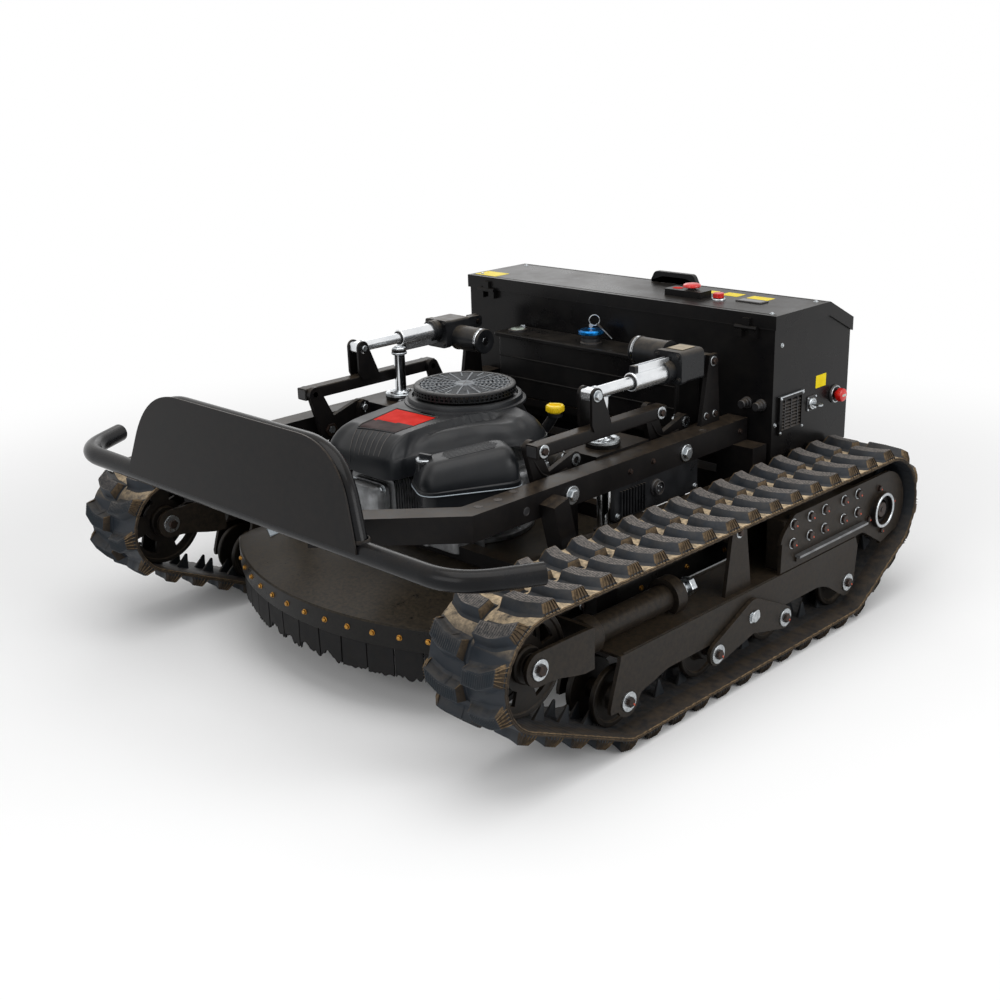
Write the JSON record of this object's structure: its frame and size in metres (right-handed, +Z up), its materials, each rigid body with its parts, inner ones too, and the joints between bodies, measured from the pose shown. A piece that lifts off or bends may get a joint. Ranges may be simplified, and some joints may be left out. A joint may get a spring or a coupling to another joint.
{
  "type": "remote control slope mower",
  "caption": "Tracked remote control slope mower with a lifting rotary deck, a petrol engine, a front guard and a rear control box with hinged lid.",
  "frame": {"origin": "on the ground, under the middle of the outline seen from above", "axes": "+Z up, -Y towards the front guard, +X to the side of the key switch"},
  "size_m": [1.3036, 1.3874, 0.6853],
  "materials": {
    "track_rubber": "matt black rubber with dried earth on the lugs",
    "skirt_rubber": "matt black sheet rubber",
    "black_powder_coat": "semi-gloss black powder coat on steel",
    "bare_steel": "zinc-plated or bare steel",
    "polished_steel": "polished steel rod",
    "anodised_aluminium": "natural anodised aluminium",
    "cast_aluminium": "die-cast aluminium",
    "motor_casting": "grey painted motor and gear housing",
    "black_plastic": "moulded black plastic, fine grain",
    "yellow_plastic": "yellow moulded plastic",
    "red_plastic": "red moulded plastic",
    "blue_anodised": "blue anodised aluminium",
    "battery_plastic": "black battery case"
  },
  "bodies": {
    "frame": {"main_frame": "black_powder_coat", "bumper_bar": "black_powder_coat", "guard_plate": "black_powder_coat", "fuel_tank": "black_powder_coat", "control_box": "black_powder_coat", "battery_pack": "battery_plastic", "track_right": "track_rubber", "track_frame_right": "black_powder_coat", "sprocket_plate_right": "black_powder_coat", "tension_cylinder_right": "black_powder_coat", "drive_motor_right": "motor_casting", "actuator_body_right": "anodised_aluminium", "track_left": "track_rubber", "track_frame_left": "black_powder_coat", "sprocket_plate_left": "black_powder_coat", "tension_cylinder_left": "black_powder_coat", "drive_motor_left": "motor_casting", "actuator_body_left": "anodised_aluminium"},
    "mower_deck": {"deck_carriage": "bare_steel", "deck_shell": "black_powder_coat", "deck_skirt": "skirt_rubber", "engine_block": "cast_aluminium", "engine_cowl": "black_plastic", "air_filter_cover": "black_plastic"},
    "crankshaft": {"fan_screen": "black_plastic", "cutter_blade": "bare_steel"},
    "oil_cap": {"oil_cap": "yellow_plastic"},
    "fuel_cap": {"fuel_cap": "blue_anodised"},
    "lid": {"box_lid": "black_powder_coat", "lid_handle": "black_plastic"},
    "emergency_button": {"emergency_button": "red_plastic"},
    "push_button": {"push_button": "red_plastic"},
    "side_stop_button": {"side_stop_button": "red_plastic"},
    "key_switch": {"key_switch": "bare_steel"},
    "crank_front_right": {"lift_crank_front_right": "black_powder_coat"},
    "crank_rear_right": {"lift_crank_rear_right": "black_powder_coat"},
    "tie_bar_right": {"tie_bar_right": "black_powder_coat"},
    "rod_right": {"actuator_rod_right": "polished_steel"},
    "wheel_1_right": {"road_wheel_1_right": "black_powder_coat"},
    "wheel_2_right": {"road_wheel_2_right": "black_powder_coat"},
    "wheel_3_right": {"road_wheel_3_right": "black_powder_coat"},
    "wheel_4_right": {"road_wheel_4_right": "black_powder_coat"},
    "idler_right": {"idler_wheel_right": "black_powder_coat"},
    "sprocket_right": {"drive_sprocket_right": "bare_steel"},
    "carrier_right": {"carrier_roller_right": "black_powder_coat"},
    "fork_right": {"idler_fork_right": "black_powder_coat"},
    "bogie_right": {"bogie_rocker_right": "black_powder_coat"},
    "crank_front_left": {"lift_crank_front_left": "black_powder_coat"},
    "crank_rear_left": {"lift_crank_rear_left": "black_powder_coat"},
    "tie_bar_left": {"tie_bar_left": "black_powder_coat"},
    "rod_left": {"actuator_rod_left": "polished_steel"},
    "wheel_1_left": {"road_wheel_1_left": "black_powder_coat"},
    "wheel_2_left": {"road_wheel_2_left": "black_powder_coat"},
    "wheel_3_left": {"road_wheel_3_left": "black_powder_coat"},
    "wheel_4_left": {"road_wheel_4_left": "black_powder_coat"},
    "idler_left": {"idler_wheel_left": "black_powder_coat"},
    "sprocket_left": {"drive_sprocket_left": "bare_steel"},
    "carrier_left": {"carrier_roller_left": "black_powder_coat"},
    "fork_left": {"idler_fork_left": "black_powder_coat"},
    "bogie_left": {"bogie_rocker_left": "black_powder_coat"}
  },
  "joints": [
    {"name": "deck_lift", "type": "slide", "parent": "frame", "child": "mower_deck", "axis": [0, 0, 1], "range_m": [-0.07, 0]},
    {"name": "blade_spin", "type": "hinge", "parent": "mower_deck", "child": "crankshaft", "pos_m": [0, -0.09685, 0.2], "axis": [0, 0, 1], "continuous": true},
    {"name": "oil_cap_turn", "type": "hinge", "parent": "mower_deck", "child": "oil_cap", "pos_m": [0.15, 0.01615, 0.484], "axis": [0, 0, 1], "range_deg": [0, 90]},
    {"name": "fuel_cap_turn", "type": "hinge", "parent": "frame", "child": "fuel_cap", "pos_m": [-0.008, 0.31415, 0.57], "axis": [0, 0, 1], "range_deg": [0, 90]},
    {"name": "lid_hinge", "type": "hinge", "parent": "frame", "child": "lid", "pos_m": [0, 0.35515, 0.626], "axis": [1, 0, 0], "range_deg": [0, 95]},
    {"name": "emergency_button_press", "type": "slide", "parent": "lid", "child": "emergency_button", "axis": [0, 0, -1], "range_m": [0, 0.005], "stiffness_N_per_m": 600},
    {"name": "push_button_press", "type": "slide", "parent": "lid", "child": "push_button", "axis": [0, 0, -1], "range_m": [0, 0.004], "stiffness_N_per_m": 500},
    {"name": "side_stop_press", "type": "slide", "parent": "frame", "child": "side_stop_button", "axis": [-1, 0, 0], "range_m": [0, 0.005], "stiffness_N_per_m": 600},
    {"name": "key_turn", "type": "hinge", "parent": "frame", "child": "key_switch", "pos_m": [0.45, 0.51615, 0.44], "axis": [1, 0, 0], "range_deg": [0, 90]},
    {"name": "crank_front_pivot_right", "type": "hinge", "parent": "frame", "child": "crank_front_right", "pos_m": [0.322, -0.20985, 0.405], "axis": [1, 0, 0], "range_deg": [-44, 0.5]},
    {"name": "crank_rear_pivot_right", "type": "hinge", "parent": "frame", "child": "crank_rear_right", "pos_m": [0.322, 0.13915, 0.405], "axis": [1, 0, 0], "range_deg": [-44, 0.5]},
    {"name": "tie_bar_pivot_right", "type": "hinge", "parent": "crank_front_right", "child": "tie_bar_right", "pos_m": [0.343, -0.24383, 0.48996], "axis": [1, 0, 0], "range_deg": [-0.5, 44]},
    {"name": "actuator_stroke_right", "type": "slide", "parent": "frame", "child": "rod_right", "axis": [0, -1, 0], "range_m": [-0.0685, 0.0005]},
    {"name": "sprocket_spin_right", "type": "hinge", "parent": "frame", "child": "sprocket_right", "pos_m": [0.545, 0.55415, 0.221], "axis": [1, 0, 0], "continuous": true},
    {"name": "fork_recoil_right", "type": "slide", "parent": "frame", "child": "fork_right", "axis": [0, 1, 0], "range_m": [0, 0.02], "stiffness_N_per_m": 60000},
    {"name": "idler_spin_right", "type": "hinge", "parent": "fork_right", "child": "idler_right", "pos_m": [0.545, -0.53385, 0.234], "axis": [1, 0, 0], "continuous": true},
    {"name": "bogie_pivot_right", "type": "hinge", "parent": "frame", "child": "bogie_right", "pos_m": [0.545, 0.06915, 0.131], "axis": [1, 0, 0], "range_deg": [-2, 2]},
    {"name": "carrier_spin_right", "type": "hinge", "parent": "frame", "child": "carrier_right", "pos_m": [0.545, 0.04915, 0.3047], "axis": [1, 0, 0], "continuous": true},
    {"name": "wheel_1_spin_right", "type": "hinge", "parent": "frame", "child": "wheel_1_right", "pos_m": [0.545, -0.30485, 0.088], "axis": [1, 0, 0], "continuous": true},
    {"name": "wheel_2_spin_right", "type": "hinge", "parent": "bogie_right", "child": "wheel_2_right", "pos_m": [0.545, -0.04885, 0.0925], "axis": [1, 0, 0], "continuous": true},
    {"name": "wheel_3_spin_right", "type": "hinge", "parent": "bogie_right", "child": "wheel_3_right", "pos_m": [0.545, 0.17915, 0.0925], "axis": [1, 0, 0], "continuous": true},
    {"name": "wheel_4_spin_right", "type": "hinge", "parent": "frame", "child": "wheel_4_right", "pos_m": [0.545, 0.43215, 0.088], "axis": [1, 0, 0], "continuous": true},
    {"name": "crank_front_pivot_left", "type": "hinge", "parent": "frame", "child": "crank_front_left", "pos_m": [-0.322, -0.20985, 0.405], "axis": [1, 0, 0], "range_deg": [-44, 0.5]},
    {"name": "crank_rear_pivot_left", "type": "hinge", "parent": "frame", "child": "crank_rear_left", "pos_m": [-0.322, 0.13915, 0.405], "axis": [1, 0, 0], "range_deg": [-44, 0.5]},
    {"name": "tie_bar_pivot_left", "type": "hinge", "parent": "crank_front_left", "child": "tie_bar_left", "pos_m": [-0.343, -0.24383, 0.48996], "axis": [1, 0, 0], "range_deg": [-0.5, 44]},
    {"name": "actuator_stroke_left", "type": "slide", "parent": "frame", "child": "rod_left", "axis": [0, -1, 0], "range_m": [-0.0685, 0.0005]},
    {"name": "sprocket_spin_left", "type": "hinge", "parent": "frame", "child": "sprocket_left", "pos_m": [-0.545, 0.55415, 0.221], "axis": [1, 0, 0], "continuous": true},
    {"name": "fork_recoil_left", "type": "slide", "parent": "frame", "child": "fork_left", "axis": [0, 1, 0], "range_m": [0, 0.02], "stiffness_N_per_m": 60000},
    {"name": "idler_spin_left", "type": "hinge", "parent": "fork_left", "child": "idler_left", "pos_m": [-0.545, -0.53385, 0.234], "axis": [1, 0, 0], "continuous": true},
    {"name": "bogie_pivot_left", "type": "hinge", "parent": "frame", "child": "bogie_left", "pos_m": [-0.545, 0.06915, 0.131], "axis": [1, 0, 0], "range_deg": [-2, 2]},
    {"name": "carrier_spin_left", "type": "hinge", "parent": "frame", "child": "carrier_left", "pos_m": [-0.545, 0.04915, 0.3047], "axis": [1, 0, 0], "continuous": true},
    {"name": "wheel_1_spin_left", "type": "hinge", "parent": "frame", "child": "wheel_1_left", "pos_m": [-0.545, -0.30485, 0.088], "axis": [1, 0, 0], "continuous": true},
    {"name": "wheel_2_spin_left", "type": "hinge", "parent": "bogie_left", "child": "wheel_2_left", "pos_m": [-0.545, -0.04885, 0.0925], "axis": [1, 0, 0], "continuous": true},
    {"name": "wheel_3_spin_left", "type": "hinge", "parent": "bogie_left", "child": "wheel_3_left", "pos_m": [-0.545, 0.17915, 0.0925], "axis": [1, 0, 0], "continuous": true},
    {"name": "wheel_4_spin_left", "type": "hinge", "parent": "frame", "child": "wheel_4_left", "pos_m": [-0.545, 0.43215, 0.088], "axis": [1, 0, 0], "continuous": true}
  ],
  "couplings": [
    {"joint": "crank_front_pivot_right", "follows": "deck_lift", "rad_per_m": 10.871},
    {"joint": "crank_rear_pivot_right", "follows": "deck_lift", "rad_per_m": 10.871},
    {"joint": "tie_bar_pivot_right", "follows": "deck_lift", "rad_per_m": -10.871},
    {"joint": "actuator_stroke_right", "follows": "deck_lift", "ratio": 0.97086},
    {"joint": "wheel_1_spin_right", "follows": "sprocket_spin_right", "ratio": 1.8333},
    {"joint": "wheel_2_spin_right", "follows": "sprocket_spin_right", "ratio": 1.8333},
    {"joint": "wheel_3_spin_right", "follows": "sprocket_spin_right", "ratio": 1.8333},
    {"joint": "wheel_4_spin_right", "follows": "sprocket_spin_right", "ratio": 1.8333},
    {"joint": "idler_spin_right", "follows": "sprocket_spin_right", "ratio": 1.134},
    {"joint": "carrier_spin_right", "follows": "sprocket_spin_right", "ratio": 4.2308},
    {"joint": "crank_front_pivot_left", "follows": "deck_lift", "rad_per_m": 10.871},
    {"joint": "crank_rear_pivot_left", "follows": "deck_lift", "rad_per_m": 10.871},
    {"joint": "tie_bar_pivot_left", "follows": "deck_lift", "rad_per_m": -10.871},
    {"joint": "actuator_stroke_left", "follows": "deck_lift", "ratio": 0.97086},
    {"joint": "wheel_1_spin_left", "follows": "sprocket_spin_left", "ratio": 1.8333},
    {"joint": "wheel_2_spin_left", "follows": "sprocket_spin_left", "ratio": 1.8333},
    {"joint": "wheel_3_spin_left", "follows": "sprocket_spin_left", "ratio": 1.8333},
    {"joint": "wheel_4_spin_left", "follows": "sprocket_spin_left", "ratio": 1.8333},
    {"joint": "idler_spin_left", "follows": "sprocket_spin_left", "ratio": 1.134},
    {"joint": "carrier_spin_left", "follows": "sprocket_spin_left", "ratio": 4.2308}
  ]
}
